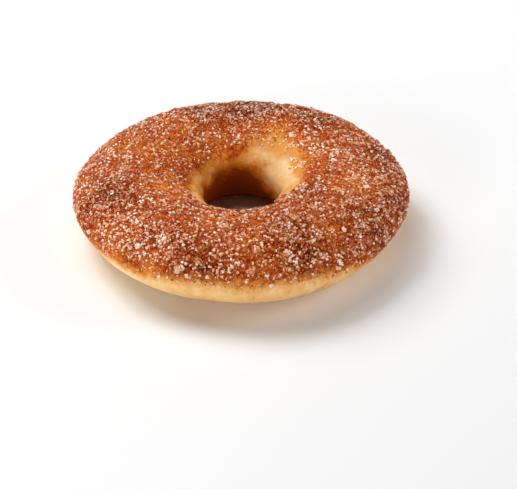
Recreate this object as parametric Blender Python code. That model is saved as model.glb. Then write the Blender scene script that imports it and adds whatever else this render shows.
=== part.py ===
"""A ring doughnut, baked in a pan and coated with cinnamon sugar.

Metres, +Z up. The doughnut stands on its flat foot. The origin lies on the surface it stands on,
under the middle of its box, and the side that faces -Y is its front.

The dough is one solid. Its section is four quarter curves, which meet at the rim, the crown, the
throat and the foot. A place on the skin is an azimuth round the ring and a turn round the
section: 0 at the rim, a quarter turn at the crown, half a turn at the throat. The sugar coat
covers the top from a wavy line near the rim to the lip of the hole. It stands a little proud of
the bare crumb, and the larger clumps of sugar are fused to it.
"""
import math
import random

import bmesh
import bpy
from mathutils import Matrix, Vector, noise

MM = 0.001
FULL_TURN = 2 * math.pi


def degrees(value):
    """An angle given in degrees, as radians."""
    return math.radians(value)


# Driving dimensions
OUTER_DIAMETER = 82.4 * MM   # of the bare ring at its widest line
RIM_HEIGHT = 8.5 * MM        # widest line above the foot
CROWN_HEIGHT = 16.6 * MM     # of the bare crest above the foot
RING_RADIUS = 26.7 * MM      # of the crest, and of the middle of the foot
THROAT_RADIUS = 10.0 * MM    # narrowest part of the hole
FOOT_FLATTENING = 0.35 * MM  # how far the lower curve is pressed flat

# Fullness of each quarter curve: 2 is an ellipse, more is squarer, less is leaner
OUTER_TOP_FULLNESS = 2.0
INNER_TOP_FULLNESS = 1.65
INNER_LOW_FULLNESS = 5.0
OUTER_LOW_FULLNESS = 1.8

# The ring isn't a true circle. Waves round it: how many, how high, and where they crest
OUTLINE_WAVES = (
    (2, 0.40 * MM, degrees(78)),
    (3, 0.28 * MM, degrees(130)),
    (4, 0.14 * MM, degrees(20)),
    (6, 0.22 * MM, degrees(-19)),
)
HOLE_WAVES = (
    (2, 0.25 * MM, degrees(150)),
    (3, 0.20 * MM, degrees(20)),
)
CROWN_WAVES = (
    (2, 0.15 * MM, degrees(200)),
    (3, 0.20 * MM, degrees(60)),
    (5, 0.12 * MM, degrees(-40)),
)

# Sugar coat, from its lower edge on the side to the lip of the hole
COAT_LOW_TURN = degrees(-3)
COAT_LOW_WAVES = (
    (1, degrees(6.0), degrees(-90)),
    (2, degrees(4.0), degrees(180)),
    (3, degrees(1.5), degrees(90)),
    (7, degrees(1.5), degrees(-75)),
)
COAT_LIP_TURN = degrees(143)
COAT_LIP_WAVES = (
    (1, degrees(7.0), degrees(-138)),
    (2, degrees(4.0), degrees(264)),
)
COAT_THICKNESS = 0.35 * MM
COAT_LUMP_HEIGHT = 0.30 * MM
COAT_LUMP_SPACING = 6.0 * MM
CRUMB_LUMP_HEIGHT = 0.14 * MM
CRUMB_LUMP_SPACING = 9.0 * MM

# Wrinkle in the bare side, to the right of the front
WRINKLE_AZIMUTH = degrees(-71)
WRINKLE_TURN = degrees(345)
WRINKLE_SPREAD = degrees(3)
WRINKLE_HEIGHT = 0.45 * MM

# Sugar clumps
CLUMP_COUNT = 125
CLUMP_LENGTH = (1.5 * MM, 2.8 * MM)
CLUMP_WIDTH = 0.75           # share of the length
CLUMP_RISE = 0.45            # share of the length, half of it sunk
CLUMP_ROUGHNESS = 0.16       # how far a corner strays, as a share of its distance
CLUMP_GAP = 3.4 * MM         # least distance between two middles
CLUMP_MARGIN = 0.08          # share of the coat's width kept free at its edges
CLUMP_SEED = 11

# Where the coat is heavier or thinner: azimuth, distance from the axis, spread and weight
COAT_PATCHES = (
    (degrees(-156), 31 * MM, 8 * MM, 0.5),
    (degrees(-110), 34 * MM, 9 * MM, 0.6),
    (degrees(-35), 20 * MM, 7 * MM, 0.6),
    (degrees(-60), 33 * MM, 8 * MM, 0.4),
    (degrees(60), 19 * MM, 8 * MM, -0.8),
    (degrees(-132), 40 * MM, 7 * MM, -0.7),
)
EVEN_COAT = 0.55             # chance of a clump where no patch reaches

# Mesh
AROUND = 84                  # steps round the ring
COAT_STEPS = 16              # across the coat
THROAT_STEPS = 8             # from the lip of the coat down to the foot
FOOT_STEPS = 2               # across the flat foot
SIDE_STEPS = 8               # from the foot up to the coat's lower edge
NUDGE = 1e-4                 # small turn used to measure a slope


def remove_everything():
    """Start from an empty scene."""
    for item in list(bpy.data.objects):
        bpy.data.objects.remove(item, do_unlink=True)


def material(name, colour, roughness):
    """A plain non-metallic surface."""
    made = bpy.data.materials.new(name)
    made.use_nodes = True
    surface = made.node_tree.nodes["Principled BSDF"]
    surface.inputs["Base Color"].default_value = (*colour, 1.0)
    surface.inputs["Roughness"].default_value = roughness
    surface.inputs["Metallic"].default_value = 0.0
    made.diffuse_color = (*colour, 1.0)
    return made


def waves(azimuth, terms):
    """Sum of the waves at one azimuth."""
    return sum(height * math.cos(count * azimuth - crest) for count, height, crest in terms)


def section(turn):
    """Distance from the axis and height of the plain section."""
    side = math.cos(turn)
    rise = math.sin(turn)
    outside = side >= 0
    above = rise >= 0
    fullness = {
        (True, True): OUTER_TOP_FULLNESS,
        (False, True): INNER_TOP_FULLNESS,
        (False, False): INNER_LOW_FULLNESS,
        (True, False): OUTER_LOW_FULLNESS,
    }[outside, above]
    reach = OUTER_DIAMETER / 2 - RING_RADIUS if outside else RING_RADIUS - THROAT_RADIUS
    height = CROWN_HEIGHT - RIM_HEIGHT if above else RIM_HEIGHT + FOOT_FLATTENING
    radius = RING_RADIUS + math.copysign(reach * abs(side) ** (2 / fullness), side)
    level = RIM_HEIGHT + math.copysign(height * abs(rise) ** (2 / fullness), rise)
    return radius, max(level, 0.0)


def foot_turns():
    """Turns at the inner and outer edges of the flat foot."""
    share = RIM_HEIGHT / (RIM_HEIGHT + FOOT_FLATTENING)
    inner = math.pi + math.asin(share ** (INNER_LOW_FULLNESS / 2))
    outer = FULL_TURN - math.asin(share ** (OUTER_LOW_FULLNESS / 2))
    return inner, outer


def coat_turns(azimuth):
    """Turns at the coat's lower edge and at its lip, for one azimuth."""
    low = COAT_LOW_TURN + waves(azimuth, COAT_LOW_WAVES)
    lip = COAT_LIP_TURN + waves(azimuth, COAT_LIP_WAVES)
    return low, lip


def place(azimuth, turn):
    """Point of the smooth uneven ring, before the coat's thickness and its lumps."""
    radius, level = section(turn)
    radius *= 1 + waves(azimuth, OUTLINE_WAVES) / (OUTER_DIAMETER / 2)
    radius += waves(azimuth, HOLE_WAVES) * max(0.0, -math.cos(turn))
    level += waves(azimuth, CROWN_WAVES) * max(0.0, math.sin(turn))
    return Vector((radius * math.cos(azimuth), radius * math.sin(azimuth), level))


def outward(azimuth, turn):
    """Unit vector out of the dough."""
    along = place(azimuth + NUDGE, turn) - place(azimuth - NUDGE, turn)
    across = place(azimuth, turn + NUDGE) - place(azimuth, turn - NUDGE)
    return along.cross(across).normalized()


def lumps(point, spacing):
    """Soft unevenness between about -1 and 1."""
    return noise.noise(point / spacing) + 0.5 * noise.noise(point * 2.3 / spacing)


def wrinkle(azimuth, turn):
    """Height of the small fold in the bare side."""
    aside = (azimuth - WRINKLE_AZIMUTH + math.pi) % FULL_TURN - math.pi
    above = (turn - WRINKLE_TURN + math.pi) % FULL_TURN - math.pi
    nearness = math.exp(-(aside / WRINKLE_SPREAD) ** 2 - (above / (3 * WRINKLE_SPREAD)) ** 2)
    return WRINKLE_HEIGHT * nearness


def skin(azimuth, turn, coated):
    """Point of the finished dough, with or without the coat on it."""
    point = place(azimuth, turn)
    if coated:
        proud = COAT_THICKNESS + COAT_LUMP_HEIGHT * lumps(point, COAT_LUMP_SPACING)
    else:
        clear_of_foot = min(1.0, point.z / RIM_HEIGHT)
        proud = CRUMB_LUMP_HEIGHT * lumps(point, CRUMB_LUMP_SPACING) + wrinkle(azimuth, turn)
        proud *= clear_of_foot
    return point + outward(azimuth, turn) * proud


def stretch(start, end, steps):
    """Evenly spaced turns from start up to, but not including, end."""
    return [start + (end - start) * step / steps for step in range(steps)]


def stations(azimuth):
    """Every turn of one section, once round, each with whether the coat is on it."""
    low, lip = coat_turns(azimuth)
    foot_inner, foot_outer = foot_turns()
    coat = stretch(low, lip, COAT_STEPS) + [lip]
    bare = stretch(lip, foot_inner, THROAT_STEPS)
    bare += stretch(foot_inner, foot_outer, FOOT_STEPS)
    bare += stretch(foot_outer, FULL_TURN + low, SIDE_STEPS) + [FULL_TURN + low]
    return [(turn, True) for turn in coat] + [(turn, False) for turn in bare]


def make_ring():
    """The dough with its coat: sections bridged one to the next round the ring."""
    mesh = bpy.data.meshes.new("doughnut")
    shape = bmesh.new()
    loops = []
    for step in range(AROUND):
        azimuth = FULL_TURN * step / AROUND
        loops.append([shape.verts.new(skin(azimuth, turn, coated)) for turn, coated in stations(azimuth)])
    for here, following in zip(loops, loops[1:] + loops[:1]):
        for index in range(len(here)):
            shape.faces.new((here[index - 1], following[index - 1], following[index], here[index]))
    bmesh.ops.recalc_face_normals(shape, faces=shape.faces)
    shape.to_mesh(mesh)
    shape.free()
    ring = bpy.data.objects.new("doughnut", mesh)
    bpy.context.collection.objects.link(ring)
    return ring


def coat_weight(azimuth, radius):
    """Chance of a clump at one place on the coat."""
    weight = EVEN_COAT
    for patch_azimuth, patch_radius, spread, strength in COAT_PATCHES:
        aside = radius * (((azimuth - patch_azimuth + math.pi) % FULL_TURN) - math.pi)
        away = math.hypot(aside, radius - patch_radius)
        weight += strength * math.exp(-(away / spread) ** 2)
    return weight


def clump_places(draw):
    """Middles of the clumps, spread over the coat and kept apart."""
    chosen = []
    while len(chosen) < CLUMP_COUNT:
        azimuth = draw.uniform(0, FULL_TURN)
        share = draw.uniform(CLUMP_MARGIN, 1 - CLUMP_MARGIN)
        low, lip = coat_turns(azimuth)
        turn = low + (lip - low) * share
        point = skin(azimuth, turn, True)
        radius = math.hypot(point.x, point.y)
        if draw.random() > radius / (OUTER_DIAMETER / 2) * coat_weight(azimuth, radius):
            continue
        if all((point - other).length > CLUMP_GAP for other, _ in chosen):
            chosen.append((point, outward(azimuth, turn)))
    return chosen


def make_clump(name, point, normal, draw):
    """One rough clump of sugar, half sunk in the coat."""
    length = draw.uniform(*CLUMP_LENGTH)
    mesh = bpy.data.meshes.new(name)
    shape = bmesh.new()
    bmesh.ops.create_icosphere(shape, subdivisions=1, radius=0.5)
    for corner in shape.verts:
        corner.co *= 1 + draw.uniform(-CLUMP_ROUGHNESS, CLUMP_ROUGHNESS)
    spin = Matrix.Rotation(draw.uniform(0, FULL_TURN), 4, "Z")
    size = Matrix.Diagonal((length, length * CLUMP_WIDTH, length * CLUMP_RISE, 1.0))
    upright = normal.to_track_quat("Z", "Y").to_matrix().to_4x4()
    shape.transform(Matrix.Translation(point) @ upright @ spin @ size)
    bmesh.ops.recalc_face_normals(shape, faces=shape.faces)
    shape.to_mesh(mesh)
    shape.free()
    return bpy.data.objects.new(name, mesh)


def fuse_clumps(ring):
    """Join the clumps to the dough as one closed solid."""
    draw = random.Random(CLUMP_SEED)
    clumps = bpy.data.collections.new("clumps")
    bpy.context.scene.collection.children.link(clumps)
    for index, (point, normal) in enumerate(clump_places(draw)):
        clumps.objects.link(make_clump(f"clump_{index}", point, normal, draw))
    union = ring.modifiers.new("fuse", "BOOLEAN")
    union.operation = "UNION"
    union.operand_type = "COLLECTION"
    union.solver = "EXACT"
    union.collection = clumps
    bpy.context.view_layer.objects.active = ring
    bpy.ops.object.modifier_apply(modifier=union.name)
    for clump in list(clumps.objects):
        bpy.data.objects.remove(clump, do_unlink=True)
    bpy.data.collections.remove(clumps)


def centre_over_origin(ring):
    """Put the middle of the box over the origin."""
    xs = [vertex.co.x for vertex in ring.data.vertices]
    ys = [vertex.co.y for vertex in ring.data.vertices]
    middle = Vector(((min(xs) + max(xs)) / 2, (min(ys) + max(ys)) / 2, 0.0))
    ring.data.transform(Matrix.Translation(-middle))


def main():
    """Make the doughnut."""
    remove_everything()
    ring = make_ring()
    fuse_clumps(ring)
    centre_over_origin(ring)
    ring.data.materials.clear()
    ring.data.materials.append(material("cinnamon_sugar_dough", (0.42, 0.16, 0.06), 0.75))
    ring.data.shade_smooth()
    ring.data.set_sharp_from_angle(angle=degrees(35))


main()
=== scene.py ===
import math
import random

import bpy
import numpy as np
from mathutils import Matrix, Vector, noise


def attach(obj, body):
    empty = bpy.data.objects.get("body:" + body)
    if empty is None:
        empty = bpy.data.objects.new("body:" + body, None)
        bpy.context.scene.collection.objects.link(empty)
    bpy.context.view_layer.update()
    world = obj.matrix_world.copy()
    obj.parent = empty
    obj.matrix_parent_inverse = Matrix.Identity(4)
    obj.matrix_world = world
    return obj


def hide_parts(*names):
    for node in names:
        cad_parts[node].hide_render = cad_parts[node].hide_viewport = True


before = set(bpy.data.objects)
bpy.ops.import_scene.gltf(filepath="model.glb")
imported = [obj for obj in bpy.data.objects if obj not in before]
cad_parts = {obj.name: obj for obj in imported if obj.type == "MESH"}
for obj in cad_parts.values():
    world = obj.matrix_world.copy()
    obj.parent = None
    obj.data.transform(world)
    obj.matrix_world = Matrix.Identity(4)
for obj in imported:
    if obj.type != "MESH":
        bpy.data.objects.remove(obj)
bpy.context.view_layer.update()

mm = 0.001
fullTurn = 2 * math.pi
deg = math.radians


# The ring: the same section and the same unevenness as the solid it covers
ring = {
    "outerDiameter": 82.4 * mm,
    "rimHeight": 8.5 * mm,
    "crownHeight": 16.6 * mm,
    "ringRadius": 26.7 * mm,
    "throatRadius": 10.0 * mm,
    "footFlattening": 0.35 * mm,
    "middle": (-0.105 * mm, -0.124 * mm),  # of the uneven outline's box, which stands over the origin
    "outerTopFullness": 2.0,
    "innerTopFullness": 1.65,
    "innerLowFullness": 5.0,
    "outerLowFullness": 1.8,
    # how many waves round the ring, how high, and where they crest
    "outlineWaves": ((2, 0.40 * mm, deg(78)), (3, 0.28 * mm, deg(130)),
                     (4, 0.14 * mm, deg(20)), (6, 0.22 * mm, deg(-19))),
    "holeWaves": ((2, 0.25 * mm, deg(150)), (3, 0.20 * mm, deg(20))),
    "crownWaves": ((2, 0.15 * mm, deg(200)), (3, 0.20 * mm, deg(60)), (5, 0.12 * mm, deg(-40))),
    "wrinkleAt": (deg(-71), deg(345)),     # azimuth and turn
    "wrinkleSpread": deg(3),
    "wrinkleLength": 3,                    # how many times longer it is up the side than round it
    "wrinkleHeight": 0.45 * mm,
    "crumbLumpHeight": 0.14 * mm,
    "crumbLumpSpacing": 9.0 * mm,
    "fineLumps": (0.5, 2.3),               # the smaller lumps on the large ones: how high, how close
}

coat = {
    "lowTurn": deg(-3),
    "lowWaves": ((1, deg(6.0), deg(-90)), (2, deg(4.0), deg(180)),
                 (3, deg(1.5), deg(90)), (7, deg(1.5), deg(-75))),
    "lipTurn": deg(143),
    "lipWaves": ((1, deg(7.0), deg(-138)), (2, deg(4.0), deg(264))),
    "thickness": 0.35 * mm,
    "lumpHeight": 0.30 * mm,
    "lumpSpacing": 6.0 * mm,
}


def waves(azimuth, terms):
    return sum(height * math.cos(count * azimuth - crest) for count, height, crest in terms)


def section(turn):  # 0 at the rim, a quarter turn at the crown, half a turn in the throat
    side = math.cos(turn)
    rise = math.sin(turn)
    if side >= 0:
        reach = ring["outerDiameter"] / 2 - ring["ringRadius"]
        fullness = ring["outerTopFullness"] if rise >= 0 else ring["outerLowFullness"]
    else:
        reach = ring["ringRadius"] - ring["throatRadius"]
        fullness = ring["innerTopFullness"] if rise >= 0 else ring["innerLowFullness"]
    if rise >= 0:
        height = ring["crownHeight"] - ring["rimHeight"]
    else:
        height = ring["rimHeight"] + ring["footFlattening"]
    radius = ring["ringRadius"] + math.copysign(reach * abs(side) ** (2 / fullness), side)
    level = ring["rimHeight"] + math.copysign(height * abs(rise) ** (2 / fullness), rise)
    return radius, max(level, 0.0)


def footTurns():
    share = ring["rimHeight"] / (ring["rimHeight"] + ring["footFlattening"])
    inner = math.pi + math.asin(share ** (ring["innerLowFullness"] / 2))
    outer = fullTurn - math.asin(share ** (ring["outerLowFullness"] / 2))
    return inner, outer


def coatTurns(azimuth):
    low = coat["lowTurn"] + waves(azimuth, coat["lowWaves"])
    lip = coat["lipTurn"] + waves(azimuth, coat["lipWaves"])
    return low, lip


def place(azimuth, turn):  # a point of the uneven ring, before its coat
    radius, level = section(turn)
    radius *= 1 + waves(azimuth, ring["outlineWaves"]) / (ring["outerDiameter"] / 2)
    radius += waves(azimuth, ring["holeWaves"]) * max(0.0, -math.cos(turn))
    level += waves(azimuth, ring["crownWaves"]) * max(0.0, math.sin(turn))
    return Vector((radius * math.cos(azimuth), radius * math.sin(azimuth), level))


def outward(azimuth, turn):
    nudge = 1e-4  # radians
    along = place(azimuth + nudge, turn) - place(azimuth - nudge, turn)
    across = place(azimuth, turn + nudge) - place(azimuth, turn - nudge)
    return along.cross(across).normalized()


def lumps(point, spacing):
    height, closeness = ring["fineLumps"]
    return noise.noise(point / spacing) + height * noise.noise(point * closeness / spacing)


def turnBetween(angle, middle):  # signed angle from the middle, within half a turn
    return (angle - middle + math.pi) % fullTurn - math.pi


def wrinkle(azimuth, turn):
    aside = turnBetween(azimuth, ring["wrinkleAt"][0]) / ring["wrinkleSpread"]
    above = turnBetween(turn, ring["wrinkleAt"][1]) / (ring["wrinkleLength"] * ring["wrinkleSpread"])
    return ring["wrinkleHeight"] * math.exp(-aside ** 2 - above ** 2)


def skin(azimuth, turn, cover):  # cover is 0 on bare crumb and 1 where the coat is at its full thickness
    point = place(azimuth, turn)
    coated = coat["thickness"] + coat["lumpHeight"] * lumps(point, coat["lumpSpacing"])
    clearOfFoot = min(1.0, point.z / ring["rimHeight"])
    bare = ring["crumbLumpHeight"] * lumps(point, ring["crumbLumpSpacing"])
    bare = (bare + wrinkle(azimuth, turn)) * clearOfFoot
    return point + outward(azimuth, turn) * (coated * cover + bare * (1 - cover))


def toFrame(points):  # from the drawn ring to the frame, where the box is centred
    moved = np.array(points, dtype=float).reshape(-1, 3)
    moved[:, :2] -= ring["middle"]
    return moved


# Zones of the coat: azimuth in degrees, distance from the axis in mm, spread in mm, and tone.
# A tone above 0 is thick and dark with cinnamon, one below 0 is thin and shows golden dough.
# The zones after them are written in the same way, with another last value.
zones = {
    "leftShoulder": (-159, 34, 7.0, 1.8),
    "frontLeft": (-127, 35, 6.0, 0.8),
    "frontLeftLow": (-106, 37, 6.0, 0.9),
    "rightOfHole": (-26, 18.5, 4.0, 1.2),
    "rightShoulder": (-33, 37, 7.0, 1.0),
    "frontRight": (-66, 36, 7.0, 1.0),
    "frontRightInner": (-66, 28, 6.0, 0.7),
    "backRim": (86, 29, 6.0, 2.8),
    "backRimFar": (80, 35, 6.0, 1.4),
    "backRimLeft": (110, 30, 6.0, 1.9),
    "backRimRight": (55, 32, 6.0, 1.8),
    "farRight": (12, 37.5, 6.5, 1.4),
    # Darker at the right edge, where less light falls: painted shade as well as cinnamon.
    "rightEdge": (-15, 39, 4.5, 1.0),
    # The three zones at the outer back darken the side that the strongest lamp lights: painted shade as well
    # as cinnamon.
    "outerBack": (98, 41.5, 7.0, 1.1),
    "outerBackRight": (48, 42, 7.0, 0.9),
    "outerBackLeft": (140, 42, 6.0, 0.7),
    "leftOfHole": (150, 17, 4.0, -0.5),
    "bareBack": (62, 17.5, 6.0, -1.5),
    "bareBackRight": (25, 18, 5.0, -1.1),
    "bareBackOuter": (78, 23, 5.5, -1.0),
    "rightMiddle": (-17, 29, 5.0, -1.1),
    "leftBack": (160, 26, 6.0, -0.8),
    "leftMiddle": (-154, 21.5, 5.5, -1.1),
    "frontOfHole": (-105, 22, 6.0, -0.5),
    "lowLeft": (-150, 40, 5.0, -0.35),
    "lowLeftNear": (-137, 41, 4.0, -0.6),
    "lowFrontLeft": (-122, 41, 3.5, -1.0),
    "rightSpot": (-53, 33.5, 2.5, -0.8),
    "goldenBack": (128, 27, 5.0, -0.7),
    "goldenLeft": (-170, 18, 5.0, -0.5),
    "backOfHole": (112, 15.5, 3.5, -0.7),
}

# Where the coat's colour reaches past its edge, or draws back from it, in mm
edgeShifts = {
    "glazedLip": (128, 12.8, 7.0, 2.6),
    "glazedLipLeft": (-170, 12.5, 6.0, 1.6),
    "glazedLeft": (-160, 41, 9.0, 2.4),
    "glazedLowLeft": (-125, 41, 6.0, 1.2),
    "glazedRight": (-38, 41, 9.0, 2.6),
    "glazedBack": (94, 13.2, 5.0, 2.8),
    "paleSlope": (52, 16.5, 4.5, -2.4),
    "glazedSlopeRight": (8, 16.5, 4.0, 1.6),
    "glazedLipRight": (-25, 12, 4.5, 3.8),
}

# Where only a thin golden film of it reaches out, in mm
filmShifts = {
    "goldenSlope": (52, 15.5, 5.0, 4.6),
    "goldenSlopeRight": (20, 15.5, 3.5, 3.0),
}

# Where the grains reach past the coat's edge, in mm
grainShifts = {
    "powderedRight": (-35, 41, 9.0, 1.6),
    "powderedFrontRight": (-62, 41, 6.0, 0.8),
    "sugaredLipRight": (-25, 12, 4.5, 3.6),
}

# Where the crystals lie denser, or sparser, than the tone of the coat tells
crystalZones = {
    "lowLeft": (-140, 38.5, 6.0, 0.6),
    "lowFrontLeft": (-122, 38, 5.0, 0.5),
    "leftMiddle": (-154, 21.5, 5.5, 0.35),
    "rightMiddle": (-17, 29, 5.0, 0.35),
    "leftShoulder": (-159, 32, 5.0, -0.35),
}

# Where the bare crumb is painted darker or paler, on top of the painted shade down the hole: darker on the
# walls of the hole, as painted shade and baked brown crust; paler, as painted light, on the lit right wall
# of the hole and on the lit front-left of the side
crumbShadeAndBrowning = {
    "back": (95, 12, 6.0, 0.34),
    "left": (160, 11.5, 6.0, 0.12),
    "front": (-90, 11, 9.0, 0.40),
    "right": (28, 11, 5.0, -0.22),
    "leftSide": (-130, 40.5, 8.0, -0.25),
}


def zoneSum(points, parts):  # sum of the soft round zones at many points at once
    azimuths = np.arctan2(points[:, 1], points[:, 0])
    radii = np.hypot(points[:, 0], points[:, 1])
    total = np.zeros(len(points))
    for azimuth, radius, spread, strength in parts.values():
        aside = (azimuths - deg(azimuth) + math.pi) % fullTurn - math.pi
        away = np.hypot(aside * radii, radii - radius * mm) / (spread * mm)
        total += strength * np.exp(-away ** 2)
    return total


def zoneTone(points):
    return zoneSum(points, zones)


def noiseAt(points, spacing, seed):  # soft noise between about -1 and 1, at many points
    shift = Vector((seed, -seed, 2 * seed))
    return np.array([noise.noise(Vector(p) / spacing + shift) for p in points])


def deselectAll():
    if bpy.context.object and bpy.context.object.mode != "OBJECT":
        bpy.ops.object.mode_set(mode="OBJECT")
    bpy.ops.object.select_all(action="DESELECT")


def inEditMode(piece, action):
    deselectAll()
    piece.select_set(True)
    bpy.context.view_layer.objects.active = piece
    bpy.ops.object.mode_set(mode="EDIT")
    bpy.ops.mesh.select_all(action="SELECT")
    action()
    bpy.ops.object.mode_set(mode="OBJECT")
    piece.select_set(False)


def applyPlace(piece):
    deselectAll()
    piece.select_set(True)
    bpy.context.view_layer.objects.active = piece
    bpy.ops.object.transform_apply(location=True, rotation=True, scale=True)
    piece.select_set(False)


def applyModifier(piece, modifier):
    deselectAll()
    bpy.context.view_layer.objects.active = piece
    bpy.ops.object.modifier_apply(modifier=modifier.name)


# The dough with its coat, spun from one section and then made uneven
dough = {
    "around": 460,
    "coatSteps": 103,
    "throatSteps": 32,
    "footSteps": 14,
    "sideSteps": 38,
    "loopRadius": 8 * mm,         # of the plain loop, which is spun round and then shaped
    "mergeWithin": 0.001 * mm,
    "raggedEdge": deg(1.2),       # how far the coat's edge strays
    "raggedSpacing": 1.6 * mm,
    "lipCloseness": 0.4,          # its edge in the hole strays in longer bends
    "lipNoiseAt": (9, 9, 9),
    "feather": 2.2 * mm,          # width over which the coat thins out to its edge
    "underneath": deg(225),       # the turn past which the coat's outer edge is the nearer one
    "toneDrift": 0.35,            # how far the tone strays where no zone changes it
    "toneDriftSize": 9 * mm,
    "toneSeed": 2.0,
    "gritStart": -0.4,            # mm inside the coat's edge
    "gritFade": 1.2,              # mm over which the grit grows to its full height
    "smoothFoot": 1.0 * mm,       # the height from which the pores have their full depth
    "weightSteps": 10,            # how finely the grit and the pores fade
    "gritSize": 0.9 * mm,
    "gritHeight": 0.24 * mm,
    "cragSize": 2.4 * mm,
    "cragHeight": 0.30 * mm,
    "poreSize": 1.1 * mm,
    "poreHeight": 0.05 * mm,
    "holeRimHeight": 12.8 * mm,   # where the painted shade down the wall of the hole starts
}


def sectionLengths():  # distance round the plain section, at many turns
    spare, count = deg(30), 4000
    turns = np.linspace(-spare, fullTurn + spare, count)
    points = np.array([section(turn) for turn in turns])
    steps = np.hypot(*np.diff(points, axis=0).T)
    return turns, np.concatenate(([0.0], np.cumsum(steps)))


sectionTurns, sectionDistances = sectionLengths()


def distanceAt(turn):
    return float(np.interp(turn, sectionTurns, sectionDistances))


def stretch(start, end, steps):  # turns at even distances from start up to, but not including, end
    distances = np.linspace(distanceAt(start), distanceAt(end), steps, endpoint=False)
    return np.interp(distances, sectionDistances, sectionTurns).tolist()


def stations(azimuth):  # every turn of one section, and the turns of the coat's two edges
    low, lip = coatTurns(azimuth)
    around = Vector((math.cos(azimuth), math.sin(azimuth), 0)) * (ring["outerDiameter"] / 2)
    low += dough["raggedEdge"] * noise.noise(around / dough["raggedSpacing"])
    alongLip = around * dough["lipCloseness"] / dough["raggedSpacing"] + Vector(dough["lipNoiseAt"])
    lip += dough["raggedEdge"] * noise.noise(alongLip)
    footInner, footOuter = footTurns()
    turns = stretch(low, lip, dough["coatSteps"])
    turns += stretch(lip, footInner, dough["throatSteps"])
    turns += stretch(footInner, footOuter, dough["footSteps"])
    turns += stretch(footOuter, fullTurn + low, dough["sideSteps"])
    return turns, low, lip


def insideCoat(turn, low, lip):  # distance to the coat's nearer edge, below 0 outside the coat
    if turn < dough["underneath"]:
        return min(distanceAt(turn) - distanceAt(low), distanceAt(lip) - distanceAt(turn))
    return distanceAt(turn) - distanceAt(fullTurn + low)


def coverFor(fromEdge):
    return min(1.0, max(0.0, fromEdge / dough["feather"]))


def displace(piece, name, size, height, group, depth=2):
    pattern = bpy.data.textures.new(name, "CLOUDS")
    pattern.noise_scale = size
    pattern.noise_depth = depth
    push = piece.modifiers.new(name, "DISPLACE")
    push.texture = pattern
    push.texture_coords = "LOCAL"
    push.direction = "NORMAL"
    push.mid_level = 0.5
    push.strength = height
    push.vertex_group = group
    applyModifier(piece, push)


def addFloatAttribute(mesh, name, values):
    attribute = mesh.attributes.new(name, "FLOAT", "POINT")
    attribute.data.foreach_set("value", np.asarray(values, dtype=np.float32))


def meshCorners(mesh):
    corners = np.empty(len(mesh.vertices) * 3)
    mesh.vertices.foreach_get("co", corners)
    return corners.reshape(-1, 3)


def sortFaces(mesh):  # spinning leaves the faces in an order that differs from run to run
    corners = meshCorners(mesh)
    faces = np.empty(len(mesh.polygons) * 4, dtype=int)
    mesh.polygons.foreach_get("vertices", faces)
    faces = faces.reshape(-1, 4)
    steps = faces.argmin(axis=1)[:, None] + np.arange(4)
    faces = np.take_along_axis(faces, steps % 4, axis=1)
    faces = faces[np.lexsort(faces.T[::-1])]
    mesh.clear_geometry()
    mesh.from_pydata(corners.tolist(), [], faces.tolist())
    mesh.update()


def spinDough(count):  # a plain ring, with count corners in each section
    deselectAll()
    bpy.ops.mesh.primitive_circle_add(
        vertices=count, radius=dough["loopRadius"], location=(ring["ringRadius"], 0, ring["rimHeight"]),
        rotation=(math.pi / 2, 0, 0))
    piece = bpy.context.object
    piece.name = piece.data.name = "doughAndCoat"
    applyPlace(piece)

    def spinRound():
        bpy.ops.mesh.spin(steps=dough["around"], angle=fullTurn, center=(0, 0, 0), axis=(0, 0, 1))
        bpy.ops.mesh.select_all(action="SELECT")
        bpy.ops.mesh.remove_doubles(threshold=dough["mergeWithin"])
        bpy.ops.mesh.normals_make_consistent(inside=False)

    inEditMode(piece, spinRound)
    sortFaces(piece.data)
    return piece


def shapeRing(corners, count):  # moves the corners to the skin, and tells how deep in the coat they are
    across = np.hypot(corners[:, 0], corners[:, 1]) - ring["ringRadius"]
    loopAngle = np.arctan2(corners[:, 2] - ring["rimHeight"], across)
    station = np.rint(loopAngle / fullTurn * count).astype(int) % count
    sector = np.rint(np.arctan2(corners[:, 1], corners[:, 0]) / fullTurn * dough["around"]).astype(int)
    sector %= dough["around"]
    sections = [stations(fullTurn * step / dough["around"]) for step in range(dough["around"])]
    coatDepth = np.empty(len(corners))  # in mm
    for index, (step, stop) in enumerate(zip(sector, station)):
        turns, low, lip = sections[step]
        fromEdge = insideCoat(turns[stop], low, lip)
        coatDepth[index] = fromEdge / mm
        corners[index] = skin(fullTurn * step / dough["around"], turns[stop], coverFor(fromEdge))
    return coatDepth


def shadeAndBrowningAt(corners):  # painted shade: the wall of the hole is painted darker downwards, and the zones paint the crumb darker or paler
    inHole = np.hypot(corners[:, 0], corners[:, 1]) < ring["ringRadius"]
    below = (dough["holeRimHeight"] - corners[:, 2]) / dough["holeRimHeight"]
    return np.where(inHole, np.clip(below, 0, 1), 0) + zoneSum(corners, crumbShadeAndBrowning)


def roughen(piece, heights, grainDepth):
    coated = np.clip((grainDepth - dough["gritStart"]) / dough["gritFade"], 0, 1)
    lifted = np.clip(heights / dough["smoothFoot"], 0, 1)  # the foot stays flat
    steps = dough["weightSteps"]
    for name, weights in (("coated", coated), ("bare", (1 - coated) * lifted)):
        group = piece.vertex_groups.new(name=name)
        for level in range(1, steps + 1):
            chosen = np.nonzero(np.rint(weights * steps) == level)[0]
            group.add(chosen.tolist(), level / steps, "REPLACE")
    displace(piece, "coatCrags", dough["cragSize"], dough["cragHeight"], "coated", 1)
    displace(piece, "coatGrit", dough["gritSize"], dough["gritHeight"], "coated")
    displace(piece, "crumbPores", dough["poreSize"], dough["poreHeight"], "bare")


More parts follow.
